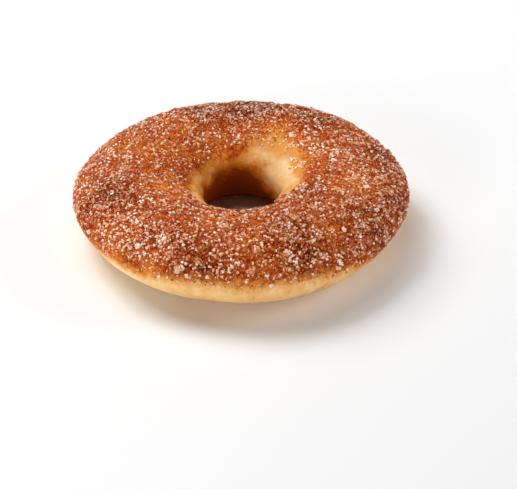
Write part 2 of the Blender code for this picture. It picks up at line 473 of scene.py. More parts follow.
def makeDough():
    count = len(stations(0.0)[0])
    piece = spinDough(count)
    mesh = piece.data
    corners = meshCorners(mesh)
    coatDepth = shapeRing(corners, count)
    drift = noiseAt(corners, dough["toneDriftSize"], dough["toneSeed"])
    tone = zoneTone(corners) + dough["toneDrift"] * drift
    shift = zoneSum(corners, edgeShifts)
    film = zoneSum(corners, filmShifts)
    grainDepth = coatDepth + np.minimum(shift, 0) + zoneSum(corners, grainShifts)
    corners = toFrame(corners)
    mesh.vertices.foreach_set("co", corners.ravel())
    mesh.update()
    # the painted shade down the hole, with its darker and paler zones of crumb
    shadeAndBrowning = shadeAndBrowningAt(corners)
    roughen(piece, corners[:, 2], grainDepth)
    addFloatAttribute(mesh, "coatDepth", coatDepth + shift)
    addFloatAttribute(mesh, "filmDepth", coatDepth + shift + film)
    addFloatAttribute(mesh, "tone", tone)
    addFloatAttribute(mesh, "shadeAndBrowning", shadeAndBrowning)
    mesh.shade_smooth()
    return piece, grainDepth, tone, film


# Parts that the materials are built from
def newMaterial(name, roughness):
    made = bpy.data.materials.new(name)
    made.use_nodes = True
    nodes = made.node_tree.nodes
    nodes["Principled BSDF"].inputs["Roughness"].default_value = roughness
    return made, nodes, made.node_tree.links, nodes["Principled BSDF"]


def noiseNode(nodes, links, place, scale, detail, roughness):
    node = nodes.new("ShaderNodeTexNoise")
    node.inputs["Scale"].default_value = scale
    node.inputs["Detail"].default_value = detail
    node.inputs["Roughness"].default_value = roughness
    links.new(place, node.inputs["Vector"])
    return node.outputs["Fac"]


def mathNode(nodes, links, operation, first, second, clamp=False):
    node = nodes.new("ShaderNodeMath")
    node.operation = operation
    node.use_clamp = clamp
    for socket, value in zip(node.inputs, (first, second)):
        if isinstance(value, (int, float)):
            socket.default_value = value
        else:
            links.new(value, socket)
    return node.outputs[0]


def rampNode(nodes, links, factor, look, stops):  # the stops name colours of the look
    node = nodes.new("ShaderNodeValToRGB")
    ramp = node.color_ramp
    while len(ramp.elements) < len(stops):
        ramp.elements.new(0.5)
    for element, (position, colour) in zip(ramp.elements, stops):
        element.position = position
        element.color = (*look[colour], 1.0)
    links.new(factor, node.inputs["Fac"])
    return node.outputs["Color"]


def mixNode(nodes, links, factor, first, second):
    node = nodes.new("ShaderNodeMix")
    node.data_type = "RGBA"
    for socket, value in ((node.inputs[0], factor), (node.inputs[6], first), (node.inputs[7], second)):
        if isinstance(value, (int, float)):
            socket.default_value = value
        elif isinstance(value, tuple):
            socket.default_value = (*value, 1.0)
        else:
            links.new(value, socket)
    return node.outputs[2]


def attributeNode(nodes, name):
    node = nodes.new("ShaderNodeAttribute")
    node.attribute_name = name
    return node.outputs["Fac"]


def linear(screen):  # 0-255 on screen as linear light
    share = screen / 255
    return share / 12.92 if share < 0.04045 else ((share + 0.055) / 1.055) ** 2.4


def srgb(red, green, blue):
    return linear(red), linear(green), linear(blue)


doughLook = {
    "paleCrumb": srgb(249, 214, 158),
    "goldCrumb": srgb(236, 184, 116),
    # The two darker crumb colours stand for crumb baked brown and for painted shade: the darkest is reached
    # only down the hole, where it paints shade.
    "bakedAndShadedCrumb": srgb(204, 112, 18),
    "deepShadedCrumb": srgb(136, 56, 2),
    "thinCoat": srgb(230, 150, 56),
    "orangeCoat": srgb(207, 100, 22),
    "brownCoat": srgb(174, 68, 12),
    "darkCoat": srgb(122, 36, 5),
    "darkestCoat": srgb(86, 22, 3),
    "crumbStops": ((0.0, "paleCrumb"), (0.4, "goldCrumb"), (0.75, "bakedAndShadedCrumb"), (1.0, "deepShadedCrumb")),
    "coatStops": ((0.0, "thinCoat"), (0.28, "orangeCoat"), (0.5, "brownCoat"),
                  (0.75, "darkCoat"), (1.0, "darkestCoat")),
    "blotch": (230.0, 3, 0.6),        # noises: scale in one over metres, detail and roughness
    "mottle": (800.0, 5, 0.7),
    "grain": (2400.0, 3, 0.7),
    # how much the noises, the painted shade with the baked brown crust, and the tone add to the colours, the
    # edges and the relief
    "crumbShares": {"base": 0.3, "blotch": 0.9, "mottle": 0.5, "shadeAndBrowning": 1.2, "tone": 0.1},
    "coatShares": {"base": 0.46, "blotch": 0.7, "mottle": 1.7, "grain": 1.2, "tone": 0.32},
    "edgeShares": {"blotch": 2.2, "mottle": 3.2},
    "reliefShares": {"mottle": 0.6, "grain": 0.4},
    "filmEdge": (0.9, 0.5),           # how far it reaches, in mm, and how steeply it ends
    "coatEdge": (-0.3, 0.42),
    "filmUpTo": 0.85,                 # the painted shade and baked brown crust past which no film shows
    "coatRoughness": 0.6,
    "crumbRoughness": 0.55,
    "specularLevel": 0.05,
    "translucency": 0.12,
    "translucentReach": (1.0, 0.45, 0.2),
    "translucentDepth": 1.2 * mm,
    "bumpStrength": 0.8,
    "bumpDepth": 0.25 * mm,
}


def doughMaterial():
    look = doughLook
    made, nodes, links, surface = newMaterial("doughAndCinnamonCoat", look["coatRoughness"])
    place = nodes.new("ShaderNodeTexCoord").outputs["Object"]
    blotch = noiseNode(nodes, links, place, *look["blotch"])
    mottle = noiseNode(nodes, links, place, *look["mottle"])
    grain = noiseNode(nodes, links, place, *look["grain"])
    depth = attributeNode(nodes, "coatDepth")
    tone = attributeNode(nodes, "tone")
    shadeAndBrowning = attributeNode(nodes, "shadeAndBrowning")

    def plus(first, second):
        return mathNode(nodes, links, "ADD", first, second)

    def times(first, second):
        return mathNode(nodes, links, "MULTIPLY", first, second)

    def centred(value, amount):
        return times(mathNode(nodes, links, "SUBTRACT", value, 0.5), amount)

    shares = look["coatShares"]
    texture = plus(centred(mottle, shares["mottle"]), centred(grain, shares["grain"]))
    texture = plus(centred(blotch, shares["blotch"]), texture)
    strength = plus(plus(shares["base"], times(tone, shares["tone"])), texture)
    coatColour = rampNode(nodes, links, strength, look, look["coatStops"])

    shares = look["crumbShares"]
    # the crumb is painted darker with the painted shade down the hole
    crumbTone = plus(centred(mottle, shares["mottle"]), times(shadeAndBrowning, shares["shadeAndBrowning"]))
    crumbTone = plus(plus(shares["base"], centred(blotch, shares["blotch"])), crumbTone)
    crumbTone = plus(crumbTone, times(tone, shares["tone"]))
    crumbColour = rampNode(nodes, links, crumbTone, look, look["crumbStops"])

    shares = look["edgeShares"]
    stray = plus(centred(mottle, shares["mottle"]), centred(blotch, shares["blotch"]))

    def within(edgeDepth, edge):  # 0 outside the edge and 1 well inside it
        reach, steepness = edge
        inside = plus(plus(edgeDepth, stray), reach)
        return mathNode(nodes, links, "MULTIPLY", inside, steepness, clamp=True)

    filmed = within(attributeNode(nodes, "filmDepth"), look["filmEdge"])
    covered = within(depth, look["coatEdge"])
    # no golden film shows where the painted shade lies deep in the hole
    clearOfShadeAndBrowning = mathNode(nodes, links, "SUBTRACT", look["filmUpTo"], shadeAndBrowning, clamp=True)
    filmColour = mixNode(nodes, links, times(filmed, clearOfShadeAndBrowning), crumbColour, look["thinCoat"])
    colour = mixNode(nodes, links, covered, filmColour, coatColour)
    links.new(colour, surface.inputs["Base Color"])
    surface.inputs["Base Color"].default_value = (*look["brownCoat"], 1.0)
    surface.inputs["Specular IOR Level"].default_value = look["specularLevel"]
    surface.inputs["Subsurface Weight"].default_value = look["translucency"]
    surface.inputs["Subsurface Radius"].default_value = look["translucentReach"]
    surface.inputs["Subsurface Scale"].default_value = look["translucentDepth"]
    roughness = mixNode(nodes, links, covered, (look["crumbRoughness"],) * 3, (look["coatRoughness"],) * 3)
    links.new(roughness, surface.inputs["Roughness"])
    shares = look["reliefShares"]
    relief = plus(times(mottle, shares["mottle"]), times(grain, shares["grain"]))
    bump = nodes.new("ShaderNodeBump")
    bump.inputs["Strength"].default_value = look["bumpStrength"]
    bump.inputs["Distance"].default_value = look["bumpDepth"]
    links.new(relief, bump.inputs["Height"])
    links.new(bump.outputs["Normal"], surface.inputs["Normal"])
    return made


sugarLook = {
    "syrupy": srgb(177, 66, 12),      # crystals soaked in cinnamon
    "tan": srgb(223, 119, 54),
    "rosy": srgb(248, 187, 134),
    "clear": srgb(255, 231, 210),
    "stops": ((0.0, "syrupy"), (0.35, "tan"), (0.7, "rosy"), (1.0, "clear")),
    "glint": (1.0, 0.82, 0.66),       # the warm tint of what the crystals mirror
    "dusty": srgb(126, 46, 18),       # what a crystal takes on where the cinnamon lies thick
    "cloud": (1800.0, 2, 0.6),        # noise: scale in one over metres, detail and roughness
    "cloudShare": 0.35,
}


def sugarMaterial(name, roughness, specularLevel):
    look = sugarLook
    made, nodes, links, surface = newMaterial(name, roughness)
    surface.inputs["Specular IOR Level"].default_value = specularLevel
    surface.inputs["Specular Tint"].default_value = (*look["glint"], 1.0)
    place = nodes.new("ShaderNodeTexCoord").outputs["Object"]
    cloud = noiseNode(nodes, links, place, *look["cloud"])
    cloud = mathNode(nodes, links, "SUBTRACT", cloud, 0.5)
    cloud = mathNode(nodes, links, "MULTIPLY", cloud, look["cloudShare"])
    whiteness = mathNode(nodes, links, "ADD", attributeNode(nodes, "whiteness"), cloud)
    colour = rampNode(nodes, links, whiteness, look, look["stops"])
    colour = mixNode(nodes, links, attributeNode(nodes, "dust"), colour, look["dusty"])
    links.new(colour, surface.inputs["Base Color"])
    surface.inputs["Base Color"].default_value = (*look["rosy"], 1.0)
    return made


spiceLook = {
    "dark": srgb(72, 16, 2),
    "middling": srgb(90, 34, 15),
    "light": srgb(132, 42, 8),
    "cloud": (1500.0, 2, 0.6),
    "lightShare": 0.6,
    "roughness": 0.7,
    "specularLevel": 0.1,
}


def spiceMaterial(name):
    look = spiceLook
    made, nodes, links, surface = newMaterial(name, look["roughness"])
    surface.inputs["Specular IOR Level"].default_value = look["specularLevel"]
    place = nodes.new("ShaderNodeTexCoord").outputs["Object"]
    cloud = noiseNode(nodes, links, place, *look["cloud"])
    factor = mathNode(nodes, links, "ADD", attributeNode(nodes, "whiteness"), cloud)
    factor = mathNode(nodes, links, "MULTIPLY", factor, look["lightShare"])
    colour = mixNode(nodes, links, factor, look["dark"], look["light"])
    links.new(colour, surface.inputs["Base Color"])
    surface.inputs["Base Color"].default_value = (*look["middling"], 1.0)
    return made


# Grain shapes, each modelled once
def blockShape(name, size, bevel, jitter, seed):
    deselectAll()
    bpy.ops.mesh.primitive_cube_add(size=1)
    piece = bpy.context.object
    piece.name = name
    piece.scale = size
    applyPlace(piece)
    if bevel:
        inEditMode(piece, lambda: bpy.ops.mesh.bevel(
            offset=bevel, offset_type="OFFSET", segments=1, affect="EDGES"))
    return shapeArrays(piece, jitter, seed)


def chipShape(name, size, jitter, seed):  # twenty faces, for the cinnamon
    deselectAll()
    bpy.ops.mesh.primitive_ico_sphere_add(subdivisions=1, radius=0.5)
    piece = bpy.context.object
    piece.name = name
    piece.scale = size
    applyPlace(piece)
    return shapeArrays(piece, jitter, seed)


def shardShape(name, size, jitter, seed):  # eight faces, for what is finer than a crystal
    deselectAll()
    bpy.ops.mesh.primitive_cone_add(
        vertices=4, radius1=0.5, depth=0.5, location=(0, 0, 0.25), end_fill_type="NOTHING")
    piece = bpy.context.object
    piece.name = name

    def mirrorBelow():
        seam = 1e-4  # of its width
        bpy.ops.mesh.duplicate()
        bpy.ops.transform.resize(value=(1, 1, -1), center_override=(0, 0, 0))
        bpy.ops.mesh.select_all(action="SELECT")
        bpy.ops.mesh.remove_doubles(threshold=seam)
        bpy.ops.mesh.normals_make_consistent(inside=False)

    inEditMode(piece, mirrorBelow)
    piece.scale = size
    applyPlace(piece)
    return shapeArrays(piece, jitter, seed)


def shapeArrays(piece, jitter, seed):
    inEditMode(piece, lambda: bpy.ops.mesh.quads_convert_to_tris())
    draw = np.random.default_rng(seed)
    corners = meshCorners(piece.data)
    corners *= 1 + draw.uniform(-jitter, jitter, (len(corners), 1))
    faces = np.array([tuple(p.vertices) for p in piece.data.polygons])
    bpy.data.objects.remove(piece, do_unlink=True)
    return corners, faces


def randomTurns(draw, count):  # evenly random quaternions as matrices
    turns = draw.normal(size=(count, 4))
    turns /= np.linalg.norm(turns, axis=1)[:, None]
    w, x, y, z = turns.T
    return np.stack([
        np.stack([1 - 2 * (y * y + z * z), 2 * (x * y - w * z), 2 * (x * z + w * y)], -1),
        np.stack([2 * (x * y + w * z), 1 - 2 * (x * x + z * z), 2 * (y * z - w * x)], -1),
        np.stack([2 * (x * z - w * y), 2 * (y * z + w * x), 1 - 2 * (x * x + y * y)], -1)], 1)


def surfaceData(piece):
    mesh = piece.data
    faces = np.empty(len(mesh.polygons) * 4, dtype=int)
    mesh.polygons.foreach_get("vertices", faces)
    areas = np.empty(len(mesh.polygons))
    mesh.polygons.foreach_get("area", areas)
    normals = np.empty(len(mesh.polygons) * 3)
    mesh.polygons.foreach_get("normal", normals)
    return {"corners": meshCorners(mesh), "faces": faces.reshape(-1, 4), "areas": areas,
            "normals": normals.reshape(-1, 3)}


def pickPlaces(surface, weights, count, draw):
    chances = surface["areas"] * weights
    picked = draw.choice(len(chances), size=count, p=chances / chances.sum())
    across, along = draw.random(count)[:, None], draw.random(count)[:, None]
    first, second, third, fourth = (surface["corners"][surface["faces"][picked, i]] for i in range(4))
    points = first * (1 - across) * (1 - along) + second * across * (1 - along)
    points = points + third * across * along + fourth * (1 - across) * along
    return points, surface["normals"][picked], picked


def lyingTurns(draw, normals, tilt):  # flat on the surface, turned at random and tipped a little
    ways = np.cross(normals, draw.normal(size=normals.shape))
    ways /= np.linalg.norm(ways, axis=1)[:, None]
    sides = np.cross(normals, ways)
    tips = draw.normal(0, tilt, len(normals))[:, None]
    return np.stack([ways, sides * np.cos(tips) + normals * np.sin(tips),
                     normals * np.cos(tips) - sides * np.sin(tips)], 2)


def joinedGrains(name, shapes, points, turns, sizes, whiteness, dust, draw):
    kinds = draw.integers(len(shapes), size=len(points))
    corners, faces, whites, dusts = [], [], [], []
    start = 0
    for kind, (shapeCorners, shapeFaces) in enumerate(shapes):
        mine = np.nonzero(kinds == kind)[0]
        moved = np.einsum("nij,kj->nki", turns[mine], shapeCorners) * sizes[mine][:, None, None]
        moved += points[mine][:, None, :]
        corners.append(moved.reshape(-1, 3))
        offsets = start + np.arange(len(mine))[:, None, None] * len(shapeCorners)
        faces.append((shapeFaces[None] + offsets).reshape(-1, 3))
        whites.append(np.repeat(whiteness[mine], len(shapeCorners)))
        dusts.append(np.repeat(dust[mine], len(shapeCorners)))
        start += len(mine) * len(shapeCorners)
    mesh = bpy.data.meshes.new(name)
    mesh.from_pydata(np.concatenate(corners).tolist(), [], np.concatenate(faces).tolist())
    mesh.update()
    addFloatAttribute(mesh, "whiteness", np.concatenate(whites))
    addFloatAttribute(mesh, "dust", np.concatenate(dusts))
    piece = bpy.data.objects.new(name, mesh)
    bpy.context.scene.collection.objects.link(piece)
    return piece


# Where the grains lie and how they look there. An edge is the depth inside the coat's edge where
# they start, and the depth over which they grow to their full number, both in mm.
scattering = {
    "clusters": (3.2 * mm, 4.0),         # size and seed
    "fineClusters": (1.3 * mm, 8.0),
    "patchiness": (0.75, 0.9, 0.8),      # the even share, and that of each size of cluster
    "leastPatchy": 0.08,
    "crystalEdge": (0.2, 3.0),
    "spiceEdge": (-0.2, 3.0),
    "dustEdge": (-1.2, 2.4),
    "coatThickness": (0.85, 0.25),       # where the tone is 0, and for each step of tone
    "coatLimits": (0.25, 1.2),
    "crystalLimits": (0.25, 1.3),
    "dustThickness": (0.9, 0.2),
    "dustLimits": (0.2, 1.3),
    "spicePower": 3,
    # the slope into the hole, which has a film and a few loose crystals but no coat
    "slopeFilmFrom": 1.2,                # mm that the film reaches out there
    "slopeUpTo": 0.3,                    # mm inside the coat's edge
    "slopeEdge": (-4.5, 5),
    "slopePower": 2,
    "slopeShare": 0.34,
    "slopeWhiteness": 0.85,
    "slopeFlatness": 0.7,
    # the cinnamon powder on the grains
    "powder": (0.06, 0.28),              # where the tone is 0, and for each step of tone
    "mostPowder": 0.72,
    "powderSpread": (0.3, 1.7),
    "whiteSheds": 0.6,                   # how much less of it a white grain has
}


def powderAt(tone, whiteness):  # the powder that lies there, and the share of it that a grain keeps
    plain, perTone = scattering["powder"]
    powder = np.clip(plain + perTone * tone, 0.0, scattering["mostPowder"])
    return powder, 1 - scattering["whiteSheds"] * whiteness


def scatter(name, kind, surface, weights):
    draw = np.random.default_rng(kind["seed"])
    points, normals, picked = pickPlaces(surface, weights, kind["count"], draw)
    onSlope = surface["onSlope"][picked]
    small, large = kind["sizes"]
    sizes = small + (large - small) * draw.random(kind["count"]) ** kind["skew"]
    points = points + normals * (sizes * kind["raised"])[:, None]
    low, high = kind["whiteness"]
    whiteness = low + (high - low) * draw.random(kind["count"]) ** kind["whiteSkew"]
    whiteness = np.maximum(whiteness, scattering["slopeWhiteness"] * onSlope)
    powder, kept = powderAt(surface["tone"][picked], whiteness)
    dust = powder * draw.uniform(*scattering["powderSpread"], kind["count"]) * kept
    turns = lyingTurns(draw, normals, kind["tilt"] * (1 - scattering["slopeFlatness"] * onSlope))
    return joinedGrains(name, kind["shapes"], points, turns, sizes, whiteness, dust, draw)


def fade(depth, edge):
    start, width = edge
    return np.clip((depth - start) / width, 0, 1)


def thickness(tone, line, limits, extra=0):
    plain, perTone = line
    return np.clip(plain + perTone * tone + extra, *limits)


def grainPlaces(surface, depth, film):  # how thick each way of lying is, face by face
    look = scattering
    middles = surface["corners"][surface["faces"]].mean(axis=1)
    clusters = noiseAt(middles, *look["clusters"])
    fineClusters = noiseAt(middles, *look["fineClusters"])
    even, large, fine = look["patchiness"]
    patchy = np.clip(even + large * clusters + fine * fineClusters, look["leastPatchy"], None)
    tone = surface["tone"]
    coatThick = thickness(tone, look["coatThickness"], look["coatLimits"])
    denser = zoneSum(middles, crystalZones)
    crystalThick = thickness(tone, look["coatThickness"], look["crystalLimits"], denser)
    dustThick = thickness(tone, look["dustThickness"], look["dustLimits"])
    onCoat = fade(depth, look["crystalEdge"])
    onSlope = np.where((film > look["slopeFilmFrom"]) & (depth < look["slopeUpTo"]), 1.0, 0.0)
    surface["onSlope"] = onSlope
    thinning = look["slopeShare"] * fade(depth, look["slopeEdge"]) ** look["slopePower"] * onSlope
    return {
        "clustered": np.maximum(onCoat * patchy * crystalThick, thinning),
        "even": onCoat * coatThick,
        "withSpice": fade(depth, look["spiceEdge"]) * coatThick ** look["spicePower"],
        "film": fade(depth, look["dustEdge"]) * dustThick,
    }


print("making the dough")
doughPiece, grainDepth, cornerTone, cornerFilm = makeDough()
doughPiece.data.materials.append(doughMaterial())
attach(doughPiece, "root")
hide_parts("doughnut")

print("scattering the sugar and the cinnamon")
surface = surfaceData(doughPiece)
surface["tone"] = cornerTone[surface["faces"]].mean(axis=1)
faceDepth = grainDepth[surface["faces"]].mean(axis=1)
faceFilm = cornerFilm[surface["faces"]].mean(axis=1)
placing = grainPlaces(surface, faceDepth, faceFilm)

# Each shape has a name, a size, for blocks the width of the bevel, an unevenness and a seed
blocks = [blockShape(*values) for values in (
    ("block", (1.0, 0.80, 0.62), 0.12, 0.10, 1),
    ("slab", (1.2, 0.68, 0.42), 0.09, 0.12, 2),
    ("stub", (0.9, 0.85, 0.70), 0.13, 0.12, 3))]
plainBlocks = [blockShape(*values) for values in (
    ("plainBlock", (1.0, 0.8, 0.65), 0, 0.14, 4),
    ("plainSlab", (1.2, 0.75, 0.45), 0, 0.16, 5),
    ("plainStub", (0.85, 0.85, 0.75), 0, 0.14, 6))]
chips = [chipShape("chip", (1.0, 0.8, 0.5), 0.2, 7), chipShape("crumb", (1.0, 0.9, 0.8), 0.2, 8)]
shards = [shardShape("shard", (1.0, 0.8, 1.0), 0.2, 9), shardShape("flake", (1.2, 0.8, 0.6), 0.2, 10)]

# A skew over 1 makes the small, or the brown, grains the most frequent. A grain is raised by a share
# of its own size. Whiteness goes from soaked in cinnamon at 0 to clear at 1, or for the specks from
# dark to light.
grains = {
    "brightSugar": {
        "shapes": blocks, "count": 4300, "sizes": (0.22 * mm, 0.70 * mm), "skew": 1.8, "raised": 0.20,
        "tilt": deg(28), "whiteness": (0.84, 1.15), "whiteSkew": 0.7, "seed": 21, "placing": "clustered",
        "roughness": 0.20, "specularLevel": 0.8, "slot": "sugar"},
    "clearSugar": {
        "shapes": plainBlocks, "count": 13000, "sizes": (0.22 * mm, 0.62 * mm), "skew": 1.6, "raised": 0.16,
        "tilt": deg(26), "whiteness": (0.08, 0.85), "whiteSkew": 1.2, "seed": 22, "placing": "clustered",
        "roughness": 0.20, "specularLevel": 0.5, "slot": "sugar"},
    "coatedSugar": {
        "shapes": plainBlocks, "count": 12000, "sizes": (0.22 * mm, 0.54 * mm), "skew": 1.5, "raised": 0.08,
        "tilt": deg(34), "whiteness": (0.0, 0.45), "whiteSkew": 1.2, "seed": 23, "placing": "even",
        "roughness": 0.4, "specularLevel": 0.08, "slot": "sugar"},
    "sugarDust": {
        "shapes": shards, "count": 16000, "sizes": (0.12 * mm, 0.28 * mm), "skew": 1.3, "raised": 0.10,
        "tilt": deg(40), "whiteness": (0.1, 0.8), "whiteSkew": 1.3, "seed": 25, "placing": "film",
        "roughness": 0.4, "specularLevel": 0.08, "slot": "sugar"},
    "cinnamonSpecks": {
        "shapes": chips, "count": 7500, "sizes": (0.14 * mm, 0.38 * mm), "skew": 2.0, "raised": 0.15,
        "tilt": deg(40), "whiteness": (0.0, 1.0), "whiteSkew": 1.0, "seed": 24, "placing": "withSpice",
        "slot": "cinnamon"},
}
for name, kind in grains.items():
    piece = scatter(name, kind, surface, placing[kind["placing"]])
    if kind["slot"] == "sugar":
        piece.data.materials.append(sugarMaterial(name + "Finish", kind["roughness"], kind["specularLevel"]))
    else:
        piece.data.materials.append(spiceMaterial(name + "Finish"))
    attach(piece, "root")
    print(name, len(piece.data.polygons), "triangles")


# The larger sugar clumps: each fills the space of a clump of the solid with small crystals
clumps = {
    "count": 125,
    "length": (1.5 * mm, 2.8 * mm),
    "width": 0.75,
    "rise": 0.45,
    "cornersDrawn": 12,     # draws that the solid's clump takes for its corners
    "unevenness": 0.16,
    "gap": 3.4 * mm,
    "margin": 0.08,
    "seed": 11,
    "evenCoat": 0.55,
    # where the coat is heavier or thinner: azimuth, distance from the axis, spread and weight
    "patches": ((deg(-156), 31 * mm, 8 * mm, 0.5), (deg(-110), 34 * mm, 9 * mm, 0.6),
                (deg(-35), 20 * mm, 7 * mm, 0.6), (deg(-60), 33 * mm, 8 * mm, 0.4),
                (deg(60), 19 * mm, 8 * mm, -0.8), (deg(-132), 40 * mm, 7 * mm, -0.7)),
    "crystalsPerLength": 14 / mm,
    "crystalSizes": (0.26 * mm, 0.60 * mm),
    "crystalSkew": 1.4,
    "crystalReach": (0.45, 0.9),     # shares of the way from the clump's middle to its outside
    "upShare": 0.8,                  # how far up they reach, beside how far out
    "whiteness": (0.15, 0.75),       # of a whole clump
    "whitenessSpread": 0.2,          # how much its crystals differ from it
    "roughness": 0.2,
    "specularLevel": 0.3,
}


def coatWeight(azimuth, radius):
    weight = clumps["evenCoat"]
    for patchAzimuth, patchRadius, spread, strength in clumps["patches"]:
        aside = radius * turnBetween(azimuth, patchAzimuth)
        weight += strength * math.exp(-(math.hypot(aside, radius - patchRadius) / spread) ** 2)
    return weight


def clumpPlaces(draw):
    chosen = []
    while len(chosen) < clumps["count"]:
        azimuth = draw.uniform(0, fullTurn)
        share = draw.uniform(clumps["margin"], 1 - clumps["margin"])
        low, lip = coatTurns(azimuth)
        turn = low + (lip - low) * share
        point = skin(azimuth, turn, 1)
        radius = math.hypot(point.x, point.y)
        if draw.random() > radius / (ring["outerDiameter"] / 2) * coatWeight(azimuth, radius):
            continue
        if all((point - other).length > clumps["gap"] for other, _ in chosen):
            chosen.append((point, outward(azimuth, turn)))
    return chosen


def makeClumps():
    draw = random.Random(clumps["seed"])
    places = clumpPlaces(draw)
    crystalDraw = np.random.default_rng(clumps["seed"])
    points, sizes, whiteness = [], [], []
    for point, normal in places:
        length = draw.uniform(*clumps["length"])
        for _ in range(clumps["cornersDrawn"]):
            draw.uniform(-clumps["unevenness"], clumps["unevenness"])
        spin = Matrix.Rotation(draw.uniform(0, fullTurn), 3, "Z")
        upright = normal.to_track_quat("Z", "Y").to_matrix()
        halves = np.array((length, length * clumps["width"], length * clumps["rise"])) / 2
        count = round(length * clumps["crystalsPerLength"])
        ways = crystalDraw.normal(size=(count, 3))
        ways[:, 2] = np.abs(ways[:, 2]) * clumps["upShare"]
        ways /= np.linalg.norm(ways, axis=1)[:, None]
        reach = crystalDraw.uniform(*clumps["crystalReach"], (count, 1))
        spread = ways * reach * halves
        turned = spread @ np.array(upright @ spin).T
        points.append(turned + np.array(point))
        small, large = clumps["crystalSizes"]
        sizes.append(small + (large - small) * crystalDraw.random(count) ** clumps["crystalSkew"])
        own = crystalDraw.uniform(*clumps["whiteness"])
        whiteness.append(np.clip(own + crystalDraw.normal(0, clumps["whitenessSpread"], count), 0, 1))
    points = toFrame(np.concatenate(points))
    sizes = np.concatenate(sizes)
    whiteness = np.concatenate(whiteness)
    powder, kept = powderAt(zoneTone(points), whiteness)
    dust = powder * kept
    turns = randomTurns(crystalDraw, len(points))
    return joinedGrains("sugarClumps", plainBlocks, points, turns, sizes, whiteness, dust, crystalDraw)


# The crystals and crumbs that catch the eye on this doughnut: azimuth and turn in degrees,
# spread in mm, how many, their size in mm and their whiteness
landmarks = {
    "crumbLeft": (-155, 48, 0.8, 26, 0.55, 0.35),
    "flakeRight": (-55.5, 21, 0.6, 14, 0.60, 1.0),
    "flakeRightLow": (-57.5, 14, 0.4, 6, 0.50, 0.9),
    "arcTop": (-73.5, 50, 0.4, 6, 0.55, 0.9),
    "arcMiddle": (-73, 42.5, 0.5, 8, 0.55, 0.95),
    "arcLow": (-71, 37.5, 0.5, 7, 0.55, 1.0),
    "frontDot": (-80.5, 12, 0.15, 2, 0.95, 1.0),
    "frontDotLeft": (-99, 10, 0.3, 3, 0.60, 1.0),
    "rightDot": (-46.5, 54.5, 0.2, 3, 1.0, 1.0),
    "frontLeftStreak": (-128.5, 40.5, 0.6, 9, 0.65, 1.0),
    "frontLeftUpper": (-120.5, 57, 0.5, 7, 0.65, 1.0),
    "frontLeftLow": (-110, 30, 0.6, 10, 0.65, 0.95),
    "frontLeftLowest": (-108, 21, 0.4, 6, 0.60, 1.0),
    "leftOfMiddle": (-136, 62, 0.6, 8, 0.60, 1.0),
    "backRight": (15.5, 106, 0.5, 6, 0.70, 0.95),
    "backRightNear": (9, 107, 0.5, 6, 0.70, 1.0),
    "backRightFar": (19, 98, 0.7, 6, 0.65, 0.95),
    "rightUpper": (-16, 70, 0.3, 4, 0.85, 1.0),
    "rightFront": (-61.5, 57, 0.4, 6, 0.60, 1.0),
    "lipFront": (-77, 143, 0.6, 12, 0.55, 0.6),
    "lipFrontRight": (-45, 138, 0.7, 14, 0.55, 0.6),
    "lipRight": (-24, 146, 0.6, 12, 0.55, 0.55),
    "lipFrontLeft": (-118, 141, 0.6, 10, 0.50, 0.5),
    "slopeRight": (22, 131, 0.8, 6, 0.60, 0.95),
    "slopeBack": (45, 125, 0.9, 6, 0.60, 0.9),
    "slopeMiddle": (35, 136, 0.9, 6, 0.60, 0.95),
    "slopeOuter": (53, 115, 1.1, 9, 0.60, 0.95),
    "slopeOuterRight": (40, 119, 1.0, 8, 0.60, 0.95),
    "slopeFar": (65, 126, 0.8, 5, 0.55, 0.9),
    "slopeNear": (21, 136, 0.9, 6, 0.60, 0.95),
    "heapLipRight": (-19, 162, 0.7, 10, 0.95, 0.75),
    "heapLipRightLow": (-36, 158, 0.7, 9, 0.85, 0.6),
    "heapLip": (-60, 150, 0.5, 6, 0.80, 0.6),
    "lipCrystal": (-75.5, 147, 0.25, 4, 0.95, 0.9),
    "lipDot": (-89, 127, 0.25, 3, 0.85, 0.95),
    "rightOfLip": (-61, 112.5, 0.25, 3, 0.95, 1.0),
    "rightLipDot": (-21.5, 137, 0.25, 3, 0.95, 1.0),
    "rightLipStreak": (-12, 135, 0.35, 3, 0.85, 1.0),
    "rightLipFar": (-38.5, 122, 0.2, 2, 0.80, 1.0),
}


largeCrystals = {
    "seed": 61,
    "spreadShare": 0.5,          # of a group's spread that is one deviation
    "fullHeap": 8,               # how many times the crystals cover the group's spread in a full heap
    "heapHeight": 0.5,
    "tilt": deg(30),
    "sizeSpread": (0.75, 1.15),
    "whitenessSpread": 0.1,
    "whitest": 1.1,
    "powder": 0.1,
    "roughness": 0.16,
    "specularLevel": 0.4,
}


def makeLandmarks():
    look = largeCrystals
    draw = np.random.default_rng(look["seed"])
    points, normals, sizes, whiteness = [], [], [], []
    for azimuth, turn, spread, count, size, white in landmarks.values():
        azimuth, turn = deg(azimuth), deg(turn)
        centre = skin(azimuth, turn, coverFor(insideCoat(turn, *coatTurns(azimuth))))
        normal = np.array(outward(azimuth, turn))
        aside = draw.normal(0, look["spreadShare"], (count, 3)) * spread * mm
        aside -= (aside @ normal)[:, None] * normal
        heaped = min(1.0, count * (size / spread) ** 2 / look["fullHeap"])
        rise = draw.uniform(0.0, look["heapHeight"], (count, 1)) * heaped * min(size, spread) * mm
        points.append(np.array(centre) + aside + rise * normal)
        normals.append(np.repeat(normal[None], count, 0))
        sizes.append(size * mm * draw.uniform(*look["sizeSpread"], count))
        whiteness.append(np.clip(draw.normal(white, look["whitenessSpread"], count), 0, look["whitest"]))
    points = toFrame(np.concatenate(points))
    turns = lyingTurns(draw, np.concatenate(normals), look["tilt"])
    whiteness = np.concatenate(whiteness)
    dust = look["powder"] * (1 - whiteness)
    return joinedGrains("largeCrystals", blocks, points, turns, np.concatenate(sizes), whiteness, dust, draw)


